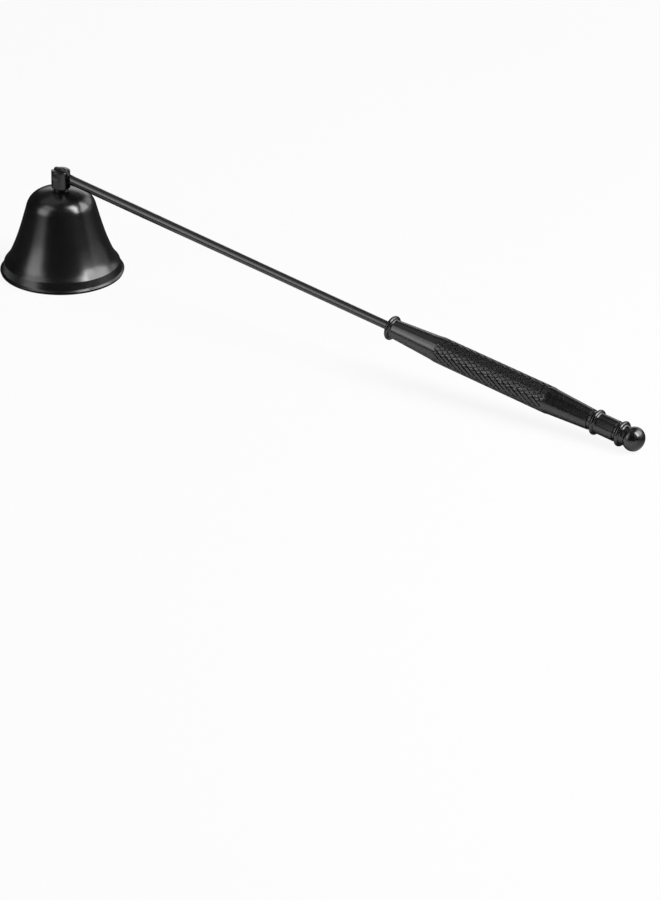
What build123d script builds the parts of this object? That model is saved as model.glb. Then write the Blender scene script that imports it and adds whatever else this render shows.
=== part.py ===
from build123d import *
import math
import os

# Candle snuffer: a bell hinged to a slender rod with a knurled handle.
# Millimetres, +Z up. The origin is the middle of the bell's mouth, on the table that the bell stands on.
# The rod runs towards +X and slopes down until the ball at its end rests on the same table.

# Bell: a spun shell with a turned-down lip
mouth_radius = 20.35
bell_height = 28.8
bell_wall = 1.0
lip_height = 3.86
lip_flare = 1.74
lip_ridge_round = 0.5
rim_round = 0.4
crown_fall_angle = 9.0
outline_radius_shares = (0.361, 0.555, 0.669, 0.806)
outline_height_shares = (0.963, 0.813, 0.523, 0.248)

# Post: a slotted clevis with a threaded stud through the bell's crown
post_radius = 3.1
post_height = 6.55
post_edge = 0.2
slot_width = 1.5
slot_floor = 1.0
pivot_rise = 4.9
stud_radius = 1.5
stud_proud = 0.6
stud_clearance = 0.1

# Fasteners under the crown
washer_radius = 3.0
washer_thickness = 0.5
lock_washer_radius = 2.8
lock_washer_thickness = 0.7
lock_washer_split = 0.5
lock_washer_split_angle = 25.0
nut_flats = 5.5
nut_height = 2.4
nut_corner_drop = 0.35
thread_clearance = 0.02

# Rivet: a round head on each side of the post
rivet_radius = 1.0
rivet_head_radius = 1.6
rivet_head_side = 1.05
rivet_head_dome = 0.5
rivet_seat_depth = 0.5
rivet_fit = 0.02
running_clearance = 0.05

# Rod: flattened spade end, round shaft that thins towards the handle, and a tail through the handle
spade_reach = 2.3
spade_end_half = 2.75
spade_shoulder = 1.6
spade_shoulder_half = 3.15
spade_corner_round = 0.8
spade_edge = 0.2
tongue_side_gap = 0.075
neck_length = 4.9
nose_gap = 0.5
root_length = 35.0
root_radius = 1.51
taper_length = 55.0
rod_radius = 1.37
rod_length = 133.95
tail_radius = 1.0
tail_clearance = 0.05

# Front collar: a flange whose back sweeps down to the grip
collar_radius = 4.04
collar_crest_round = 0.4
collar_cove = 1.2
collar_flank_angle = 52.0

# Grip: a cone, the raised knurled band and a second cone
grip_front_radius = 3.08
front_cone_length = 15.3
front_cone_radius = 4.0
knurl_run_in = 2.0
knurl_front_radius = 4.26
knurl_length = 42.1
knurl_rear_radius = 4.38
knurl_run_out = 1.3
rear_cone_radius = 4.17
rear_cone_length = 13.9
grip_rear_radius = 3.36

# Finial: groove and bead, neck, groove and bead, flattened ball
groove_radius = 3.08
groove_length = 0.97
bead_radius = 4.15
bead_crest_round = 0.45
bead_cove = 0.6
bead_flank_angle = 48.0
finial_neck_radius = 3.33
finial_neck_length = 5.75
ball_neck_radius = 3.15
ball_pitch = 4.25
ball_radius = 3.9
ball_half_length = 3.42
ball_shoulder_share = 0.936
tail_reach = 6.0
tail_relief = 0.5

# How far a cut runs past the faces that it opens
overrun = 1.0

# Places along the bell's axis
pivot_height = bell_height + pivot_rise
rivet_seat = post_radius - rivet_seat_depth
washer_top = bell_height - bell_wall
lock_washer_top = washer_top - washer_thickness
nut_top = lock_washer_top - lock_washer_thickness
stud_end = nut_top - nut_height - stud_proud
tongue_half = slot_width / 2 - tongue_side_gap


def flank_length(rise, angle, rounds):
    """Straight run that is left of a flank between the rounds at its ends."""
    turn = math.radians(angle)
    return (rise - rounds * (1 - math.cos(turn))) / math.sin(turn)


def flank_reach(rise, angle, rounds):
    """Length along the axis of a flank and the rounds at its ends."""
    turn = math.radians(angle)
    return rounds * math.sin(turn) + flank_length(rise, angle, rounds) * math.cos(turn)


def bead_reach(foot_radius):
    """Length along the rod from a bead's crest to its foot."""
    return flank_reach(bead_radius - foot_radius, bead_flank_angle, bead_crest_round + bead_cove)


# Places along the rod, from the pivot
nose_start = post_radius + nose_gap
taper_end = root_length + taper_length
collar_rounds = collar_crest_round + collar_cove
collar_fall = collar_radius - grip_front_radius
collar_crest = rod_length + collar_crest_round
grip_start = collar_crest + flank_reach(collar_fall, collar_flank_angle, collar_rounds)
cone_end = grip_start + front_cone_length
knurl_start = cone_end + knurl_run_in
knurl_end = knurl_start + knurl_length
rear_start = knurl_end + knurl_run_out
grip_end = rear_start + rear_cone_length
first_foot = grip_end + groove_length
first_bead = first_foot + bead_reach(groove_radius)
neck_start = first_bead + bead_reach(finial_neck_radius)
neck_end = neck_start + finial_neck_length
second_foot = neck_end + groove_length
second_bead = second_foot + bead_reach(groove_radius)
ball_distance = second_bead + ball_pitch
tail_end = grip_end + tail_reach

# The rod slopes so that the ball touches the table
rest_angle = math.degrees(math.asin((pivot_height - ball_radius) / ball_distance))
rod_at_rest = Pos(0, 0, pivot_height) * Rot(0, rest_angle, 0)
across_post = Pos(0, 0, pivot_height) * Rot(90, 0, 0)
on_top = (Align.CENTER, Align.CENTER, Align.MIN)
below = (Align.CENTER, Align.CENTER, Align.MAX)


def turned_upright(edges):
    """Solid of revolution about Z from a closed outline of radius and height."""
    return revolve(Plane.XZ * make_face(edges), Axis.Z)


def turned_along_rod(edges):
    """Solid of revolution about X from a closed outline of place and radius."""
    return revolve(make_face(edges), Axis.X)


def swept_outline(start, heading, moves):
    """Tangent arcs and lines in turn; each move is a radius and a turn, or a length with no turn."""
    edges = []
    place = Vector(*start)
    heading = Vector(*heading)
    for size, turn in moves:
        if turn:
            edge = JernArc(place, heading, size, turn)
        else:
            edge = Line(place, place + heading * size)
        place = edge @ 1
        heading = edge % 1
        edges.append(edge)
    return edges


def bead_outline(foot, front_radius, rear_radius):
    """Cove, flank, round crest, flank and cove of a bead that starts at its front foot."""
    rounds = bead_crest_round + bead_cove
    moves = [
        (bead_cove, bead_flank_angle),
        (flank_length(bead_radius - front_radius, bead_flank_angle, rounds), 0),
        (bead_crest_round, -2 * bead_flank_angle),
        (flank_length(bead_radius - rear_radius, bead_flank_angle, rounds), 0),
        (bead_cove, bead_flank_angle),
    ]
    return swept_outline((foot, front_radius), (1, 0), moves)


def crown_to_lip(radius, height, ridge):
    """Tangent arcs from the edge of the flat crown down to the ridge of the lip."""
    fall = math.radians(crown_fall_angle)
    place = Vector(post_radius, height)
    heading = Vector(math.cos(fall), -math.sin(fall))
    shares = zip(outline_radius_shares, outline_height_shares)
    stops = [Vector(radius * across, height * up) for across, up in shares] + [ridge]
    arcs = []
    for stop in stops:
        arc = TangentArc(place, stop, tangent=heading)
        place = arc @ 1
        heading = arc % 1
        arcs.append(arc)
    return arcs


def ring_at(form, height):
    """The round edge of a turned form that lies at a height."""
    rings = form.edges().filter_by(GeomType.CIRCLE)
    return rings.sort_by(lambda ring: abs(ring.center().Z - height))[0]


def bell_outside():
    ridge = Vector(mouth_radius - lip_flare, lip_height)
    edges = [
        Line((0, bell_height), (post_radius, bell_height)),
        *crown_to_lip(mouth_radius, bell_height, ridge),
        Line(ridge, (mouth_radius, 0)),
        Line((mouth_radius, 0), (0, 0)),
        Line((0, 0), (0, bell_height)),
    ]
    form = turned_upright(edges)
    form = fillet(ring_at(form, lip_height), lip_ridge_round)
    return fillet(ring_at(form, 0), rim_round)


def bell_inside():
    radius = mouth_radius - bell_wall
    height = bell_height - bell_wall
    ridge = Vector(radius - lip_flare, lip_height)
    edges = [
        Line((0, height), (post_radius, height)),
        *crown_to_lip(radius, height, ridge),
        Line(ridge, (radius, 0)),
        Line((radius, 0), (radius, -overrun)),
        Line((radius, -overrun), (0, -overrun)),
        Line((0, -overrun), (0, height)),
    ]
    return turned_upright(edges)


def bell():
    stud_hole = Pos(0, 0, washer_top - overrun) * Cylinder(
        stud_radius + stud_clearance, bell_wall + 2 * overrun, align=on_top
    )
    return bell_outside() - bell_inside() - stud_hole


def clevis_post():
    barrel = Pos(0, 0, bell_height) * Cylinder(post_radius, post_height, align=on_top)
    barrel = chamfer(barrel.faces().sort_by(Axis.Z)[-1].edges(), post_edge)
    slot = Pos(0, 0, bell_height + slot_floor) * Box(
        2 * (post_radius + overrun), slot_width, post_height, align=on_top
    )
    stud = Pos(0, 0, bell_height) * Cylinder(stud_radius, bell_height - stud_end, align=below)
    rivet_hole = across_post * Cylinder(rivet_radius + rivet_fit, 2 * (post_radius + overrun))
    post = barrel + stud - slot - rivet_hole
    for turn in (0, 180):
        seat = Rot(0, 0, turn) * across_post * Pos(0, 0, rivet_seat)
        post -= seat * Cylinder(rivet_head_radius + rivet_fit, post_radius, align=on_top)
    return post


def flat_ring(top, radius, thickness, bore):
    ring = Cylinder(radius, thickness, align=below) - Cylinder(bore, 2 * thickness + overrun)
    return Pos(0, 0, top) * ring


def crown_washer():
    return flat_ring(washer_top, washer_radius, washer_thickness, stud_radius + stud_clearance)


def crown_lock_washer():
    ring = flat_ring(lock_washer_top, lock_washer_radius, lock_washer_thickness, stud_radius + stud_clearance)
    middle = lock_washer_top - lock_washer_thickness / 2
    split = Rot(lock_washer_split_angle, 0, 0) * Box(
        lock_washer_radius + overrun,
        lock_washer_split,
        2 * lock_washer_thickness + overrun,
        align=(Align.MIN, Align.CENTER, Align.CENTER),
    )
    return ring - Pos(0, 0, middle) * split


def crown_nut():
    half_flats = nut_flats / 2
    corner = nut_flats / math.sqrt(3)
    prism = extrude(RegularPolygon(half_flats, 6, major_radius=False), nut_height)
    envelope = turned_upright(
        Polyline(
            (0, 0),
            (half_flats, 0),
            (corner, nut_corner_drop),
            (corner, nut_height - nut_corner_drop),
            (half_flats, nut_height),
            (0, nut_height),
            close=True,
        )
    )
    bore = Cylinder(stud_radius + thread_clearance, 2 * (nut_height + overrun))
    return Pos(0, 0, nut_top - nut_height) * (prism & envelope - bore)


def pivot_rivet():
    shoulder = rivet_seat + rivet_head_side
    top = shoulder + rivet_head_dome
    edges = [
        TangentArc((0, top), (rivet_head_radius, shoulder), tangent=(1, 0)),
        Line((rivet_head_radius, shoulder), (rivet_head_radius, rivet_seat)),
        Line((rivet_head_radius, rivet_seat), (rivet_radius, rivet_seat)),
        Line((rivet_radius, rivet_seat), (rivet_radius, 0)),
        Line((rivet_radius, 0), (0, 0)),
        Line((0, 0), (0, top)),
    ]
    half = turned_upright(edges)
    return across_post * (half + Rot(180, 0, 0) * half)


def spade():
    """Flattened end of the rod, with rounded corners and shoulders that run into the shaft."""
    blank = make_face(
        Polyline(
            (-spade_reach, -spade_end_half),
            (spade_shoulder, -spade_shoulder_half),
            (neck_length, -root_radius),
            (neck_length, root_radius),
            (spade_shoulder, spade_shoulder_half),
            (-spade_reach, spade_end_half),
            close=True,
        )
    )
    blank = fillet(blank.vertices().sort_by(Axis.X)[:4], spade_corner_round)
    plate = extrude(Plane.XZ * blank, tongue_half, both=True)
    rims = plate.edges().group_by(Axis.Y)
    return fillet(rims[0] + rims[-1], spade_edge)


def rod():
    shaft = turned_along_rod(
        Polyline(
            (nose_start, 0),
            (nose_start, tongue_half),
            (neck_length, root_radius),
            (root_length, root_radius),
            (taper_end, rod_radius),
            (rod_length, rod_radius),
            (rod_length, tail_radius),
            (tail_end, tail_radius),
            (tail_end, 0),
            close=True,
        )
    )
    eye = Rot(90, 0, 0) * Cylinder(rivet_radius + running_clearance, slot_width + overrun)
    return rod_at_rest * (spade() + shaft - eye)


def tail_bore(start, end):
    """Bore for the rod's tail between two places along the rod."""
    return Pos(start, 0, 0) * Rot(0, 90, 0) * Cylinder(tail_radius + tail_clearance, end - start, align=on_top)


def front_collar():
    face_top = collar_radius - collar_crest_round
    moves = [
        (collar_crest_round, -90 - collar_flank_angle),
        (flank_length(collar_fall, collar_flank_angle, collar_rounds), 0),
        (collar_cove, collar_flank_angle),
    ]
    edges = [
        Line((rod_length, 0), (rod_length, face_top)),
        *swept_outline((rod_length, face_top), (0, 1), moves),
        Line((grip_start, grip_front_radius), (grip_start, 0)),
        Line((grip_start, 0), (rod_length, 0)),
    ]
    bore = tail_bore(rod_length - overrun, grip_start + overrun)
    return rod_at_rest * (turned_along_rod(edges) - bore)


def grip():
    form = turned_along_rod(
        Polyline(
            (grip_start, 0),
            (grip_start, grip_front_radius),
            (cone_end, front_cone_radius),
            (knurl_start, knurl_front_radius),
            (knurl_end, knurl_rear_radius),
            (rear_start, rear_cone_radius),
            (grip_end, grip_rear_radius),
            (grip_end, 0),
            close=True,
        )
    )
    return rod_at_rest * (form - tail_bore(grip_start - overrun, grip_end + overrun))


def ball_outline():
    """Round shoulder and flatter cap of the ball, tangent where they meet."""
    shoulder_round = ball_shoulder_share * ball_half_length
    lift = ball_radius - shoulder_round
    cap_round = (ball_half_length**2 + lift**2 - shoulder_round**2) / (2 * (ball_half_length - shoulder_round))
    cap_turn = math.degrees(math.atan2(lift, cap_round - ball_half_length))
    neck_turn = 180 - math.degrees(math.asin((ball_neck_radius - lift) / shoulder_round))
    shoulder = CenterArc((ball_distance, lift), shoulder_round, cap_turn, neck_turn - cap_turn)
    cap = CenterArc((ball_distance + ball_half_length - cap_round, 0), cap_round, 0, cap_turn)
    return shoulder, cap


def finial():
    ball_neck_start = second_bead + bead_reach(ball_neck_radius)
    shoulder, cap = ball_outline()
    edges = [
        Line((grip_end, 0), (grip_end, groove_radius)),
        Line((grip_end, groove_radius), (first_foot, groove_radius)),
        *bead_outline(first_foot, groove_radius, finial_neck_radius),
        Line((neck_start, finial_neck_radius), (neck_end, finial_neck_radius)),
        Line((neck_end, finial_neck_radius), (neck_end, groove_radius)),
        Line((neck_end, groove_radius), (second_foot, groove_radius)),
        *bead_outline(second_foot, groove_radius, ball_neck_radius),
        Line((ball_neck_start, ball_neck_radius), shoulder @ 1),
        shoulder,
        cap,
        Line(cap @ 0, (grip_end, 0)),
    ]
    return rod_at_rest * (turned_along_rod(edges) - tail_bore(grip_end - overrun, tail_end + tail_relief))


os.makedirs("parts", exist_ok=True)
for piece in (
    bell,
    clevis_post,
    crown_washer,
    crown_lock_washer,
    crown_nut,
    pivot_rivet,
    rod,
    front_collar,
    grip,
    finial,
):
    export_step(piece(), f"parts/{piece.__name__}.step")
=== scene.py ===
import math

import bmesh
import bpy
from mathutils import Matrix, Quaternion, Vector


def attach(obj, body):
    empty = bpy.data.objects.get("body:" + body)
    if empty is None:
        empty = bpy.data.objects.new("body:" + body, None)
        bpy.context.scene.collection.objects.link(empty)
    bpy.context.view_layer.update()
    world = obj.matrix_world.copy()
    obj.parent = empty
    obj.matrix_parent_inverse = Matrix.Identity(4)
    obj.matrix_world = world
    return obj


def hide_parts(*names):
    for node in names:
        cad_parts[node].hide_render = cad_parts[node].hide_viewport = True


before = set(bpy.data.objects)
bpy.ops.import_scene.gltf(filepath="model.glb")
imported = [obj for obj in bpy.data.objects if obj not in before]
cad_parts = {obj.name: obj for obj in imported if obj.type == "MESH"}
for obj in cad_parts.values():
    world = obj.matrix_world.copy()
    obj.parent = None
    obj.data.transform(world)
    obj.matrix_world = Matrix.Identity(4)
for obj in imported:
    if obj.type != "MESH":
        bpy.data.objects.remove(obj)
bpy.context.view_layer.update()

# A black candle snuffer: bell on its rim, rod hinged on top of it, knurled handle lying on the table.
# Lengths are millimetres along the part until a mesh is made; the scene itself is in metres.
MM = 0.001
COLUMNS = 160
FINE_COLUMNS = 64
SHARP_ANGLE = math.radians(30)
LATHE_SHARP_ANGLE = math.radians(24)

# Bell
mouth_radius = 20.35
bell_height = 28.8
bell_wall = 1.0
shoulder_height = 3.65
shoulder_inset = 1.4
shoulder_round = 0.4
band_end_height = 1.3
band_flare = 0.78
band_end_round = 0.12
rim_edge_height = 0.8
rim_edge_round = 0.1
rim_undercut = 0.3
rim_foot_round = 0.1
crown_fall = math.radians(9)
outline_radius_shares = (0.362, 0.559, 0.675, 0.82)
outline_height_shares = (0.963, 0.813, 0.523, 0.248)
stud_hole_radius = 1.6
bell_columns = 240
lip_blend_points = 6

# Clevis post on the crown, with a threaded stud below, and the rivet across it
post_radius = 3.1
post_height = 6.7
post_edge = 0.25
post_groove_depth = 0.6
post_groove_height = 0.85
slot_half = 0.75
slot_floor = 1.0
stud_radius = 1.5
stud_length = 5.2
thread_pitch = 0.5
thread_depth = 0.2
thread_steps = 8
cheek_steps = 40
gap_steps = 8
edge_steps = 6
rivet_radius = 1.0
rivet_fit = 0.02
rivet_head_radius = 1.15
rivet_seat = 2.6
rivet_head_edge = 3.05
rivet_top = 3.15
pivot_height = 33.7

# Rod: spade that is flat in the slot, round shaft and a tail inside the handle, along it from the pivot
spade_reach = 2.75
spade_end_half = 2.1
spade_top = 0.5
spade_top_half = 2.95
spade_foot = 4.4
spade_corner = 0.45
spade_edge = 0.2
spade_thickness_half = 0.58
spade_squareness = 5.0
eye_radius = 1.05
round_start = 3.3
round_end = 5.2
root_radius = 1.51
root_length = 35.0
taper_end = 90.0
rod_radius = 1.37
rod_length = 133.95
tail_radius = 1.0
tail_end = 216.48

# Handle, along the rod from the pivot
bore_radius = 1.05
collar_radius = 4.04
collar_crest_round = 0.7
collar_cove = 0.47
collar_flank_angle = math.radians(60)
grip_front_radius = 3.08
front_cone_length = 15.3
front_cone_radius = 4.0
knurl_run_in = 2.0
knurl_front_radius = 4.26
knurl_length = 42.1
knurl_rear_radius = 4.38
knurl_run_out = 1.3
rear_cone_radius = 4.17
rear_cone_length = 14.4
grip_rear_radius = 3.36
groove_radius = 3.08
groove_length = 0.57
first_groove_length = 0.8
bead_radius = 4.15
bead_crest_round = 0.7
bead_cove = 0.735
bead_flank_angle = math.radians(62)
finial_neck_radius = 3.33
finial_neck_length = 6.06
ball_neck_radius = 3.15
ball_pitch = 4.25
ball_radius = 3.9
ball_half_length = 3.42
ball_shoulder_share = 0.936
tail_depth = 6.5

# Knurl: two crossing families of grooves, one of them deeper
knurl_starts = 17
knurl_axial_pitch = 2.79
knurl_steps = 12
knurl_depth = 0.22
knurl_family_shares = (0.3, 1.0)
knurl_groove_share = 2 / knurl_steps
knurl_fade = 1.2


def flank_length(rise, angle, rounds):
    """Straight run that is left of a flank between the rounds at its ends."""
    return (rise - rounds * (1 - math.cos(angle))) / math.sin(angle)


def flank_reach(rise, angle, rounds):
    """Length along the axis of a flank and the rounds at its ends."""
    return rounds * math.sin(angle) + flank_length(rise, angle, rounds) * math.cos(angle)


def bead_reach(foot_radius):
    """Length along the rod from a bead's crest to its foot."""
    return flank_reach(bead_radius - foot_radius, bead_flank_angle, bead_crest_round + bead_cove)


collar_rounds = collar_crest_round + collar_cove
grip_start = rod_length + collar_crest_round + flank_reach(
    collar_radius - grip_front_radius, collar_flank_angle, collar_rounds
)
cone_end = grip_start + front_cone_length
knurl_start = cone_end + knurl_run_in
knurl_end = knurl_start + knurl_length
rear_start = knurl_end + knurl_run_out
grip_end = rear_start + rear_cone_length
first_foot = grip_end + first_groove_length
neck_start = first_foot + bead_reach(groove_radius) + bead_reach(finial_neck_radius)
neck_end = neck_start + finial_neck_length
second_foot = neck_end + groove_length
second_bead = second_foot + bead_reach(groove_radius)
ball_distance = second_bead + ball_pitch
rest_angle = math.radians(7.5606)

UPRIGHT = Matrix.Rotation(-math.pi / 2, 4, "Y")
ALONG_ROD = Matrix.Translation((0, 0, pivot_height)) @ Matrix.Rotation(rest_angle, 4, "Y")
ACROSS_POST = Matrix.Translation((0, 0, pivot_height)) @ Matrix.Rotation(-math.pi / 2, 4, "Z")


# Outlines are lists of (place along the axis, distance from it)


def turned(heading, angle):
    return Matrix.Rotation(angle, 2) @ heading


def arc_to(start, heading, stop, steps):
    """Points after start on the arc that leaves along heading and ends at stop, and the heading there."""
    chord = stop - start
    half_turn = math.atan2(heading.x * chord.y - heading.y * chord.x, heading.dot(chord))
    points = []
    for step in range(1, steps + 1):
        turn = half_turn * step / steps
        points.append(start + turned(heading, turn) * chord.length * math.sin(turn) / math.sin(half_turn))
    return points, turned(heading, 2 * half_turn)


def swept(start, heading, moves, step_angle=math.radians(7)):
    """Points of tangent arcs and lines in turn; each move is a radius and a turn, or a length with no turn."""
    points = [Vector(start)]
    heading = Vector(heading)
    for size, turn in moves:
        steps = max(1, math.ceil(abs(turn) / step_angle))
        part = turn / steps
        for _ in range(steps):
            length = 2 * size * math.sin(abs(part) / 2) if turn else size
            points.append(points[-1] + turned(heading, part / 2) * length)
            heading = turned(heading, part)
    return points


def rounded(before, corner, after, radius, steps=6):
    """Points of a round of that radius in place of a corner."""
    back = (before - corner).normalized()
    ahead = (after - corner).normalized()
    half = back.angle(ahead) / 2
    centre = corner + (back + ahead).normalized() * radius / math.sin(half)
    reach = radius / math.tan(half)
    first = corner + back * reach - centre
    sweep = first.angle_signed(corner + ahead * reach - centre)
    return [centre + turned(first, -sweep * step / steps) for step in range(steps + 1)]


def crown_to_lip(radius, height, shoulder, steps=14):
    """Tangent arcs from the crown beside the post down to the shoulder of the lip."""
    points = [Vector((height, post_radius))]
    heading = Vector((-math.sin(crown_fall), math.cos(crown_fall)))
    shares = zip(outline_radius_shares, outline_height_shares)
    for stop in [Vector((height * up, radius * across)) for across, up in shares] + [shoulder]:
        more, heading = arc_to(points[-1], heading, stop, steps)
        points += more
    return points


def softened(corners, rounds):
    """The corners as one line, each inner corner rounded by its radius."""
    points = [corners[0]]
    for before, corner, after, radius in zip(corners, corners[1:], corners[2:], rounds):
        points += rounded(before, corner, after, radius)
    return [*points, corners[-1]]


def bell_outline():
    """Flare down to a shoulder, narrow band, step out to the rim's edge, its undercut, and the inside."""
    shoulder = Vector((shoulder_height, mouth_radius - shoulder_inset))
    band_end = Vector((band_end_height, shoulder.y + band_flare))
    rim_edge = Vector((rim_edge_height, mouth_radius))
    foot = Vector((0, mouth_radius - rim_undercut))
    inner_foot = Vector((0, mouth_radius - bell_wall))
    inner_shoulder = shoulder - Vector((0, bell_wall))
    outside = crown_to_lip(mouth_radius, bell_height, shoulder)
    inside = crown_to_lip(mouth_radius - bell_wall, bell_height - bell_wall, inner_shoulder)
    lip = softened(
        [outside[-lip_blend_points], shoulder, band_end, rim_edge, foot, inner_foot],
        [shoulder_round, band_end_round, rim_edge_round, rim_foot_round],
    )
    return [
        Vector((bell_height, stud_hole_radius)),
        *outside[:-lip_blend_points],
        *lip,
        *reversed(inside),
        Vector((bell_height - bell_wall, stud_hole_radius)),
    ]


def bead_outline(foot, front_radius, rear_radius):
    """Cove, flank, round crest, flank and cove of a bead that starts at its front foot."""
    rounds = bead_crest_round + bead_cove
    moves = [
        (bead_cove, bead_flank_angle),
        (flank_length(bead_radius - front_radius, bead_flank_angle, rounds), 0),
        (bead_crest_round, -2 * bead_flank_angle),
        (flank_length(bead_radius - rear_radius, bead_flank_angle, rounds), 0),
        (bead_cove, bead_flank_angle),
    ]
    return swept((foot, front_radius), (1, 0), moves)


def collar_outline():
    moves = [
        (collar_crest_round, -math.pi / 2 - collar_flank_angle),
        (flank_length(collar_radius - grip_front_radius, collar_flank_angle, collar_rounds), 0),
        (collar_cove, collar_flank_angle),
    ]
    return [
        Vector((rod_length, bore_radius)),
        *swept((rod_length, collar_radius - collar_crest_round), (0, 1), moves),
        Vector((grip_start, bore_radius)),
    ]


def grip_outline():
    row = knurl_axial_pitch / knurl_steps
    rows = int(knurl_length / row)
    widen = (knurl_rear_radius - knurl_front_radius) / knurl_length
    band = [(knurl_start + row * i, knurl_front_radius + widen * row * i) for i in range(rows + 1)]
    corners = [
        (grip_start, bore_radius),
        (grip_start, grip_front_radius),
        (cone_end, front_cone_radius),
        *band,
        (rear_start, rear_cone_radius),
        (grip_end, grip_rear_radius),
        (grip_end, bore_radius),
    ]
    return [Vector(corner) for corner in corners]


def ball_outline(steps=14):
    """Round shoulder and flatter cap of the ball, tangent where they meet."""
    shoulder_round = ball_shoulder_share * ball_half_length
    lift = ball_radius - shoulder_round
    beyond = ball_half_length - shoulder_round
    cap_round = (ball_half_length**2 + lift**2 - shoulder_round**2) / (2 * beyond)
    cap_turn = math.atan2(lift, cap_round - ball_half_length)
    neck_turn = math.pi - math.asin((ball_neck_radius - lift) / shoulder_round)
    points = []
    for step in range(steps + 1):
        turn = neck_turn + (cap_turn - neck_turn) * step / steps
        along, out = shoulder_round * math.cos(turn), shoulder_round * math.sin(turn)
        points.append(Vector((ball_distance + along, lift + out)))
    middle = ball_distance + ball_half_length - cap_round
    for step in range(1, steps):
        turn = cap_turn * (1 - step / steps)
        along, out = cap_round * math.cos(turn), cap_round * math.sin(turn)
        points.append(Vector((middle + along, out)))
    return [*points, Vector((ball_distance + ball_half_length, 0))]


def finial_outline():
    return [
        Vector((grip_end + tail_depth, 0)),
        Vector((grip_end + tail_depth, bore_radius)),
        Vector((grip_end, bore_radius)),
        Vector((grip_end, groove_radius)),
        *bead_outline(first_foot, groove_radius, finial_neck_radius),
        Vector((neck_end, finial_neck_radius)),
        Vector((neck_end, groove_radius)),
        *bead_outline(second_foot, groove_radius, ball_neck_radius),
        *ball_outline(),
    ]


def rivet_outline(steps=8):
    """Shank with a low dome for a head at each end."""
    rise = rivet_top - rivet_head_edge
    dome_round = (rivet_head_radius**2 + rise**2) / (2 * rise)
    dome_turn = math.asin(rivet_head_radius / dome_round)
    head = [Vector((rivet_seat, rivet_radius)), Vector((rivet_seat, rivet_head_radius))]
    for step in range(steps):
        turn = dome_turn * (1 - step / steps)
        drop = dome_round * (1 - math.cos(turn))
        head.append(Vector((rivet_top - drop, dome_round * math.sin(turn))))
    other = [Vector((-place, out)) for place, out in reversed(head)]
    return [Vector((-rivet_top, 0)), *other, *head, Vector((rivet_top, 0))]


def rivet_room():
    """Outline of what the rivet takes out of the post: hole and head seats."""
    hole, head = rivet_radius + rivet_fit, rivet_head_radius + rivet_fit
    end = post_radius + rivet_top
    half = [(rivet_seat, hole), (rivet_seat, head), (end, head), (end, 0)]
    other = [(-place, out) for place, out in reversed(half)]
    return [Vector(corner) for corner in other + half]


def eye_room():
    """Outline of the hole for the rivet in the rod's spade."""
    corners = [(-slot_half, 0), (-slot_half, eye_radius), (slot_half, eye_radius), (slot_half, 0)]
    return [Vector(corner) for corner in corners]


# Meshes


def groove(phase):
    """Depth share of a V groove, 1 in its middle and 0 on the land between grooves."""
    return max(0, 1 - abs(phase - round(phase)) / knurl_groove_share)


def knurl_phases(place, column, columns):
    around = knurl_starts * column / columns
    along = (place - knurl_start) / knurl_axial_pitch
    return around + along, around - along


def knurl_cut(place, column, columns):
    """How far the knurl takes the surface in at a place along the grip."""
    edge = min(place - knurl_start, knurl_end - place) / knurl_fade
    if edge <= 0:
        return 0
    families = zip(knurl_family_shares, knurl_phases(place, column, columns))
    return knurl_depth * min(1, edge) * max(share * groove(phase) for share, phase in families)


def clamp(share):
    return min(1, max(0, share))


def smooth(share):
    share = clamp(share)
    return share * share * (3 - 2 * share)


def finish_mesh(name, mesh_build, sharp_angle):
    bmesh.ops.recalc_face_normals(mesh_build, faces=mesh_build.faces)
    mesh = bpy.data.meshes.new(name)
    mesh_build.to_mesh(mesh)
    mesh_build.free()
    mesh.shade_smooth()
    mesh.set_sharp_from_angle(angle=sharp_angle)
    piece = bpy.data.objects.new(name, mesh)
    bpy.context.scene.collection.objects.link(piece)
    return piece


def lathe(name, outline, place, columns=COLUMNS, knurled=False):
    """Solid of revolution from a closed outline, set in the scene by a matrix."""
    build = bmesh.new()
    rings = []
    for along, out in outline:
        count = columns if out > 0 else 1
        ring = []
        for column in range(count):
            turn = 2 * math.pi * column / columns
            reach = out - knurl_cut(along, column, columns) if knurled and out > bore_radius else out
            point = place @ Vector((along, reach * math.cos(turn), reach * math.sin(turn)))
            ring.append(build.verts.new(point * MM))
        rings.append(ring)
    for index, ring in enumerate(rings):
        previous = rings[index - 1]
        if len(previous) == 1 and len(ring) == 1:
            continue
        for column in range(columns):
            after = (column + 1) % columns
            corners = [previous[column % len(previous)], previous[after % len(previous)]]
            corners += [ring[after % len(ring)], ring[column % len(ring)]]
            corners = [corner for at, corner in enumerate(corners) if corner not in corners[:at]]
            if knurled and len(corners) == 4:
                middle = (outline[index - 1].x + outline[index].x) / 2
                cuts = [groove(phase) for phase in knurl_phases(middle, column + 0.5, columns)]
                if max(cuts) > 0:
                    if cuts[0] > cuts[1]:
                        corners = corners[1:] + corners[:1]
                    build.faces.new((corners[0], corners[1], corners[2]))
                    build.faces.new((corners[0], corners[2], corners[3]))
                    continue
            build.faces.new(corners)
    return finish_mesh(name, build, LATHE_SHARP_ANGLE)


def joined(build, rings):
    """Quads between rings of as many corners each."""
    for lower, upper in zip(rings, rings[1:]):
        for column in range(len(lower)):
            build.faces.new((lower[column - 1], lower[column], upper[column], upper[column - 1]))


def eased_edge(size, distance):
    """How far a round edge of that size takes a surface in, that distance from the edge."""
    inside = size * (1 - clamp(distance / size))
    return size - math.sqrt(size**2 - inside**2)


def groove_wave(phase):
    """0 on a thread's crest and 1 in its root."""
    return 2 * abs(phase - math.floor(phase) - 0.5)


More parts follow.
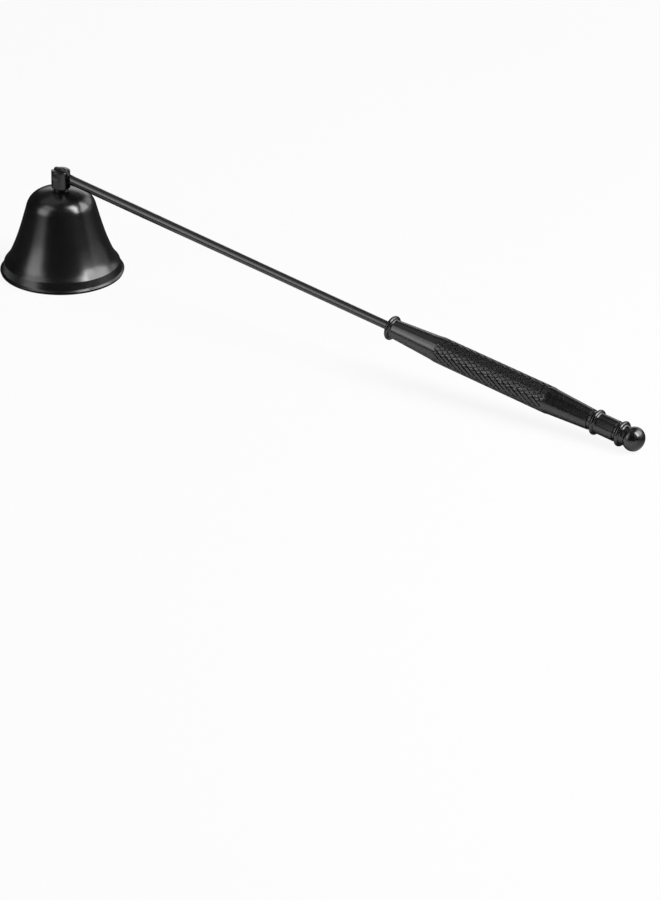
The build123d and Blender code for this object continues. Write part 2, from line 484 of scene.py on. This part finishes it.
def slotted_post():
    """Threaded stud, grooved foot and two cheeks with the slot between them."""
    build = bmesh.new()
    opening = math.asin(slot_half / post_radius)
    cheek = [opening + (math.pi - 2 * opening) * step / cheek_steps for step in range(cheek_steps + 1)]
    gap = [math.pi - opening + 2 * opening * step / gap_steps for step in range(1, gap_steps)]
    turns = cheek + gap + [turn + math.pi for turn in cheek + gap]

    stud_end = bell_height - stud_length
    foot_top = bell_height + post_groove_height
    groove_out = post_radius - post_groove_depth
    rows = int((stud_length - thread_depth) / thread_pitch * thread_steps)
    profile = [(stud_end, stud_radius - 2 * thread_depth)]
    for row in range(rows):
        profile.append((stud_end + thread_depth + row * thread_pitch / thread_steps, stud_radius))
    profile += [(bell_height, stud_radius), (bell_height, groove_out), (foot_top, groove_out)]
    profile += [(foot_top + post_edge / 2, post_radius), (bell_height + slot_floor, post_radius)]
    rings = []
    for height, out in profile:
        ring = []
        for turn in turns:
            reach = out
            if out == stud_radius and height < bell_height:
                reach -= thread_depth * groove_wave(height / thread_pitch - turn / (2 * math.pi))
            corner = Vector((reach * math.cos(turn), reach * math.sin(turn), height))
            ring.append(build.verts.new(corner * MM))
        rings.append(ring)
    joined(build, rings)
    build.faces.new(rings[0])

    top = bell_height + post_height
    rim = rings[-1]
    half = len(turns) // 2
    sides = (rim[: len(cheek)], rim[half : half + len(cheek)])
    build.faces.new(rim[len(cheek) - 1 : half + 1] + rim[half + len(cheek) - 1 :] + rim[:1])
    for sign, foot in zip((1, -1), sides):
        loops = [foot]
        for step in range(edge_steps + 1):
            drop = post_edge * (1 - step / edge_steps)
            inset = eased_edge(post_edge, drop)
            out = post_radius - inset
            start = math.asin((slot_half + inset) / out)
            loop = []
            for corner in range(len(cheek)):
                turn = start + (math.pi - 2 * start) * corner / cheek_steps
                place = Vector((sign * out * math.cos(turn), sign * out * math.sin(turn), top - drop))
                loop.append(build.verts.new(place * MM))
            loops.append(loop)
        joined(build, loops)
        build.faces.new(loops[-1])
    return finish_mesh("slotted_post", build, SHARP_ANGLE)


def spade_half_height(place):
    if place > spade_top:
        fall = smooth((place - spade_top) / (spade_foot - spade_top))
        return spade_top_half + (root_radius - spade_top_half) * fall
    rise = (place + spade_reach) / (spade_top + spade_reach)
    half = spade_end_half + (spade_top_half - spade_end_half) * rise
    return half - eased_edge(spade_corner, place + spade_reach)


def forged_rod(columns=FINE_COLUMNS, steps=70):
    """Spade with eased edges that rounds into the shaft, the shaft's taper and the tail in the handle."""
    sections = []
    for step in range(steps + 1):
        place = -spade_reach + (round_end + spade_reach) * step / steps
        share = smooth((place - round_start) / (round_end - round_start))
        thick = spade_thickness_half + (root_radius - spade_thickness_half) * share
        thick -= eased_edge(spade_edge, place + spade_reach)
        power = 2 / (spade_squareness + (2 - spade_squareness) * share)
        sections.append((place, spade_half_height(place), thick, power))
    shaft = [(root_length, root_radius), (taper_end, rod_radius), (rod_length, rod_radius)]
    shaft += [(rod_length, tail_radius), (tail_end, tail_radius)]
    sections += [(place, out, out, 1) for place, out in shaft]
    build = bmesh.new()
    rings = []
    for place, high, thick, power in sections:
        ring = []
        for column in range(columns):
            turn = 2 * math.pi * (column + 0.5) / columns
            across, up = math.cos(turn), math.sin(turn)
            across = math.copysign(abs(across) ** power, across) * thick
            up = math.copysign(abs(up) ** power, up) * high
            ring.append(build.verts.new((ALONG_ROD @ Vector((place, across, up))) * MM))
        rings.append(ring)
    joined(build, rings)
    build.faces.new(rings[0])
    build.faces.new(rings[-1])
    return finish_mesh("forged_rod", build, SHARP_ANGLE)


def drilled(piece, cutter):
    """The piece with the cutter's room taken out of its mesh."""
    cut = piece.modifiers.new("cut", "BOOLEAN")
    cut.object = cutter
    cut.solver = "EXACT"
    whole = piece.evaluated_get(bpy.context.evaluated_depsgraph_get())
    piece.data = bpy.data.meshes.new_from_object(whole)
    piece.data.set_sharp_from_angle(angle=SHARP_ANGLE)
    piece.modifiers.clear()
    bpy.data.objects.remove(cutter)
    return piece


# Materials

finish_ior = 1.65
cloud_scale = 90
gloss_scale = 900
turning_scale = (5000, 40, 40)
coat_dark = (0.002, 0.002, 0.0021)
coat_light = (0.0035, 0.0035, 0.0036)
oxide_dark = (0.008, 0.008, 0.009)
oxide_light = (0.02, 0.0195, 0.02)


def link(tree, source, target):
    tree.links.new(source, target)


def add_node(tree, kind, **settings):
    node = tree.nodes.new(kind)
    for name, value in settings.items():
        setattr(node, name, value)
    return node


def noise(tree, vector, scale, detail=3.0, roughness=0.55):
    node = add_node(tree, "ShaderNodeTexNoise")
    node.inputs["Scale"].default_value = scale
    node.inputs["Detail"].default_value = detail
    node.inputs["Roughness"].default_value = roughness
    link(tree, vector, node.inputs["Vector"])
    return node.outputs["Fac"]


def spread(tree, value, low, high, start=0.3, end=0.7):
    """The noise value from start to end spread over low to high."""
    node = add_node(tree, "ShaderNodeMapRange")
    node.inputs["From Min"].default_value = start
    node.inputs["From Max"].default_value = end
    node.inputs["To Min"].default_value = low
    node.inputs["To Max"].default_value = high
    link(tree, value, node.inputs["Value"])
    return node.outputs["Result"]


def bumped(tree, height, distance, normal=None):
    node = add_node(tree, "ShaderNodeBump")
    node.inputs["Strength"].default_value = 1
    node.inputs["Distance"].default_value = distance
    link(tree, height, node.inputs["Height"])
    if normal:
        link(tree, normal, node.inputs["Normal"])
    return node.outputs["Normal"]


def black_finish(name, dark, light, roughness, peel_scale, peel_depth, lathe_lines=0.0):
    """Black finish over metal: cloudy tone and gloss, fine pebbling, and turning marks round the rod."""
    material = bpy.data.materials.new(name)
    material.use_nodes = True
    tree = material.node_tree
    shader = tree.nodes["Principled BSDF"]
    shader.inputs["IOR"].default_value = finish_ior
    place = add_node(tree, "ShaderNodeTexCoord").outputs["Object"]
    cloud = noise(tree, place, cloud_scale)
    mix = add_node(tree, "ShaderNodeMix", data_type="RGBA")
    mix.inputs["A"].default_value = (*dark, 1)
    mix.inputs["B"].default_value = (*light, 1)
    link(tree, spread(tree, cloud, 0, 1), mix.inputs["Factor"])
    link(tree, mix.outputs["Result"], shader.inputs["Base Color"])
    fine = noise(tree, place, gloss_scale, detail=2)
    link(tree, spread(tree, fine, roughness[0], roughness[1]), shader.inputs["Roughness"])
    normal = bumped(tree, noise(tree, place, peel_scale, detail=2), peel_depth * MM)
    if lathe_lines:
        along = add_node(tree, "ShaderNodeMapping")
        along.inputs["Rotation"].default_value = (0, -rest_angle, 0)
        along.inputs["Scale"].default_value = turning_scale
        link(tree, place, along.inputs["Vector"])
        lines = noise(tree, along.outputs["Vector"], 1, detail=2)
        normal = bumped(tree, lines, lathe_lines * MM, normal)
    link(tree, normal, shader.inputs["Normal"])
    return material


black_coat = black_finish("black_coat", coat_dark, coat_light, (0.22, 0.27), 1500, 0.003)
black_turned = black_finish("black_turned", coat_dark, coat_light, (0.21, 0.27), 1800, 0.002, 0.001)
black_satin = black_finish("black_satin", coat_dark, coat_light, (0.23, 0.28), 1800, 0.002, 0.001)
black_oxide = black_finish("black_oxide", oxide_dark, oxide_light, (0.35, 0.5), 2500, 0.006)


def dress(piece, body, material, node=None):
    piece.data.materials.clear()
    piece.data.materials.append(material)
    if node:
        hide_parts(node)
        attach(piece, body)


bell = lathe("bell_shell", bell_outline(), UPRIGHT, columns=bell_columns)
dress(bell, "head", black_coat, "bell")
dress(lathe("collar", collar_outline(), ALONG_ROD), "handle", black_turned, "front_collar")
knurl_columns = knurl_starts * knurl_steps
grip = lathe("knurled_grip", grip_outline(), ALONG_ROD, columns=knurl_columns, knurled=True)
dress(grip, "handle", black_satin, "grip")
dress(lathe("finial_end", finial_outline(), ALONG_ROD), "handle", black_turned, "finial")
post = drilled(slotted_post(), lathe("rivet_room", rivet_room(), ACROSS_POST, columns=FINE_COLUMNS))
dress(post, "head", black_coat, "clevis_post")
rivet = lathe("flush_rivet", rivet_outline(), ACROSS_POST, columns=FINE_COLUMNS)
dress(rivet, "head", black_coat, "pivot_rivet")
rod = drilled(forged_rod(), lathe("rod_eye", eye_room(), ACROSS_POST, columns=FINE_COLUMNS))
dress(rod, "handle", black_coat, "rod")
for node in ("crown_washer", "crown_lock_washer", "crown_nut"):
    dress(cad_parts[node], "head", black_oxide)


# Stage, in metres: a white table in a dim room, two lamps that light it, and soft boxes that only
# reflections show. Reflections see painted light on the table: a painted pool of light in front of the
# object, and painted shade behind it and close round the bell's rim.

bell_middle = Vector((0, 0, bell_height / 2 * MM))
table_side = 6.0
# Painted pool of light in front of the object and painted shade behind it and to its left, seen only in
# reflections of the table
pool_length = 0.228
painted_pool_light = 0.95
painted_pool_shade = 0.05
pool_start = 0.06
pool_end = 0.14
pool_front = -0.01
pool_back = 0.012
pool_left = -0.03
pool_right = 0.01
pool_side = (1, -2, 0)
# Painted shade round the bell's rim, seen only in reflections of the table
painted_rim_shade_start = 0.0215
painted_rim_shade_end = 0.03
table_white_share = 0.9
table_grey = (0.8, 0.8, 0.8, 1)
room_grey = (0.04, 0.04, 0.04, 1)


def stage_plate(name, centre, normal, width, height, material):
    """A flat rectangle of the set, facing along normal."""
    mesh = bpy.data.meshes.new(name)
    x, y = width / 2, height / 2
    mesh.from_pydata([(-x, -y, 0), (x, -y, 0), (x, y, 0), (-x, y, 0)], [], [(0, 1, 2, 3)])
    mesh.materials.append(material)
    plate = bpy.data.objects.new(name, mesh)
    plate.location = centre
    plate.rotation_mode = "QUATERNION"
    plate.rotation_quaternion = normal.to_track_quat("Z", "Y")
    bpy.context.scene.collection.objects.link(plate)
    return plate


def put(tree, value, target):
    """Link a socket to the target, or set the target to a value."""
    if isinstance(value, bpy.types.NodeSocket):
        link(tree, value, target)
    else:
        target.default_value = value


def product(tree, first, second):
    node = add_node(tree, "ShaderNodeMath", operation="MULTIPLY")
    put(tree, first, node.inputs[0])
    put(tree, second, node.inputs[1])
    return node.outputs["Value"]


def vector_math(tree, operation, first, second=(0, 0, 0), result="Vector"):
    node = add_node(tree, "ShaderNodeVectorMath", operation=operation)
    put(tree, first, node.inputs[0])
    put(tree, second, node.inputs[1])
    return node.outputs[result]


def table_material():
    """White matte table that the camera sees as white, with the object's shadow left on it; reflections see
    painted light on it, a painted pool of light in front of the object and painted shade behind it, to its
    left and round the bell's rim.
    """
    material = bpy.data.materials.new("white_table")
    material.use_nodes = True
    tree = material.node_tree
    tree.nodes.remove(tree.nodes["Principled BSDF"])
    matte = add_node(tree, "ShaderNodeBsdfDiffuse")
    glow = add_node(tree, "ShaderNodeEmission")
    rays = add_node(tree, "ShaderNodeLightPath")
    place = add_node(tree, "ShaderNodeNewGeometry").outputs["Position"]
    parts = add_node(tree, "ShaderNodeSeparateXYZ")
    link(tree, place, parts.inputs[0])
    below_end = vector_math(tree, "MINIMUM", place, (pool_length, 0, 0))
    nearest = vector_math(tree, "MAXIMUM", below_end, (0, 0, 0))
    outside = vector_math(tree, "SUBTRACT", place, nearest)
    distance = vector_math(tree, "LENGTH", outside, result="Value")
    from_bell = vector_math(tree, "LENGTH", place, result="Value")
    across = vector_math(tree, "DOT_PRODUCT", place, pool_side, "Value")
    # Painted light level for reflections: a lit pool in front of the object, painted shade behind it, to its
    # left and round the bell's rim
    level = spread(tree, distance, 1, 0, pool_start, pool_end)
    level = product(tree, level, spread(tree, parts.outputs["Y"], 1, 0, pool_front, pool_back))
    level = product(tree, level, spread(tree, across, 0, 1, pool_left, pool_right))
    level = product(tree, level, spread(tree, from_bell, 0, 1, painted_rim_shade_start, painted_rim_shade_end))
    painted_reflection = spread(tree, level, painted_pool_shade, painted_pool_light, 0, 1)
    tone = add_node(tree, "ShaderNodeMix", data_type="RGBA")
    tone.inputs["A"].default_value = table_grey
    link(tree, rays.outputs["Is Glossy Ray"], tone.inputs["Factor"])
    link(tree, painted_reflection, tone.inputs["B"])
    link(tree, tone.outputs["Result"], matte.inputs["Color"])
    either = add_node(tree, "ShaderNodeMixShader")
    link(tree, product(tree, rays.outputs["Is Camera Ray"], table_white_share), either.inputs[0])
    link(tree, matte.outputs[0], either.inputs[1])
    link(tree, glow.outputs[0], either.inputs[2])
    link(tree, either.outputs[0], tree.nodes["Material Output"].inputs["Surface"])
    return material


def softbox_material(name, radiance, soft):
    """Glow that fades towards the edges of a plate over that share of its half width and height."""
    material = bpy.data.materials.new(name)
    material.use_nodes = True
    tree = material.node_tree
    tree.nodes.remove(tree.nodes["Principled BSDF"])
    glow = add_node(tree, "ShaderNodeEmission")
    parts = add_node(tree, "ShaderNodeSeparateXYZ")
    link(tree, add_node(tree, "ShaderNodeTexCoord").outputs["Generated"], parts.inputs[0])
    level = radiance
    for axis in ("X", "Y"):
        from_middle = add_node(tree, "ShaderNodeMath", operation="SUBTRACT")
        from_middle.inputs[1].default_value = 0.5
        link(tree, parts.outputs[axis], from_middle.inputs[0])
        size = add_node(tree, "ShaderNodeMath", operation="ABSOLUTE")
        link(tree, from_middle.outputs[0], size.inputs[0])
        fade = add_node(tree, "ShaderNodeMapRange", interpolation_type="SMOOTHSTEP")
        fade.inputs["From Min"].default_value = (1 - soft) / 2
        fade.inputs["From Max"].default_value = 0.5
        fade.inputs["To Min"].default_value = 1
        fade.inputs["To Max"].default_value = 0
        link(tree, size.outputs[0], fade.inputs["Value"])
        level = product(tree, fade.outputs["Result"], level)
    link(tree, level, glow.inputs["Strength"])
    link(tree, glow.outputs[0], tree.nodes["Material Output"].inputs["Surface"])
    return material


def direction(azimuth, elevation):
    """Unit vector at an azimuth from +X towards +Y and an elevation, in degrees."""
    turn, rise = math.radians(azimuth), math.radians(elevation)
    return Vector((math.cos(turn) * math.cos(rise), math.sin(turn) * math.cos(rise), math.sin(rise)))


def softbox(name, azimuth, elevation, distance, width, height, radiance, soft):
    """A glowing plate with soft edges that shows in the finish; the lamps do the lighting."""
    away = direction(azimuth, elevation)
    material = softbox_material(name, radiance, soft)
    plate = stage_plate(name, bell_middle + away * distance, -away, width, height, material)
    plate.visible_camera = False
    plate.visible_diffuse = False
    plate.visible_shadow = False


def soft_lamp(name, azimuth, elevation, distance, side, radiance):
    away = direction(azimuth, elevation)
    lamp = bpy.data.objects.new(name, bpy.data.lights.new(name, "AREA"))
    lamp.data.size = side
    lamp.data.energy = radiance * math.pi * side**2
    lamp.location = bell_middle + away * distance
    lamp.rotation_mode = "QUATERNION"
    lamp.rotation_quaternion = away.to_track_quat("Z", "Y")
    lamp.visible_glossy = False
    bpy.context.scene.collection.objects.link(lamp)


stage_plate("table", Vector((0, 0, 0)), Vector((0, 0, 1)), table_side, table_side, table_material())
# Azimuth and elevation in degrees, distance, side, radiance
soft_lamp("key_lamp", 15, 42, 1.2, 0.8, 9)
soft_lamp("side_lamp", -116, 27, 0.6, 0.4, 1.5)
# Azimuth and elevation in degrees, distance, width, height, radiance, share of each half that fades
softbox("key_box", 9, 43, 1.2, 0.44, 1.2, 14, 0.45)
softbox("wing_box", 40, 34, 1.2, 1.0, 1.3, 5.4, 0.55)
softbox("side_box", -115, 25, 0.52, 0.42, 0.46, 3.2, 0.6)
softbox("side_top_box", -115, 50, 0.52, 0.4, 0.34, 2.0, 0.7)
softbox("back_box", 119, 16, 1.2, 1.1, 0.5, 1.6, 0.5)
softbox("right_box", 80, 23, 1.2, 0.75, 0.7, 1.5, 0.5)
softbox("overhead_box", 165, 66, 1.2, 1.3, 1.1, 0.4, 0.5)
softbox("fill_box", 45, 4, 1.2, 1.2, 0.5, 0.55, 0.3)

world = bpy.data.worlds.new("studio")
bpy.context.scene.world = world
world.use_nodes = True
tree = world.node_tree
room = tree.nodes["Background"]
room.inputs["Color"].default_value = room_grey
white = add_node(tree, "ShaderNodeBackground")
either = add_node(tree, "ShaderNodeMixShader")
rays = add_node(tree, "ShaderNodeLightPath")
link(tree, rays.outputs["Is Camera Ray"], either.inputs[0])
link(tree, room.outputs[0], either.inputs[1])
link(tree, white.outputs[0], either.inputs[2])
link(tree, either.outputs[0], tree.nodes["World Output"].inputs["Surface"])

# Camera
camera_place = (1.07508, -1.3062, 0.74869)
camera_aim = Vector((0.15073, -0.05593, 0))
camera_roll = math.radians(0.319)
lens_length = 225.67
sensor_width = 36
view_end = 100
camera = bpy.data.objects.new("camera", bpy.data.cameras.new("camera"))
bpy.context.scene.collection.objects.link(camera)
camera.data.lens = lens_length
camera.data.sensor_width = sensor_width
camera.data.clip_end = view_end
camera.location = camera_place
sight = (camera_aim - camera.location).to_track_quat("-Z", "Y")
camera.rotation_mode = "QUATERNION"
camera.rotation_quaternion = sight @ Quaternion((0, 0, 1), camera_roll)
bpy.context.scene.camera = camera
bpy.context.scene.view_settings.view_transform = "Standard"
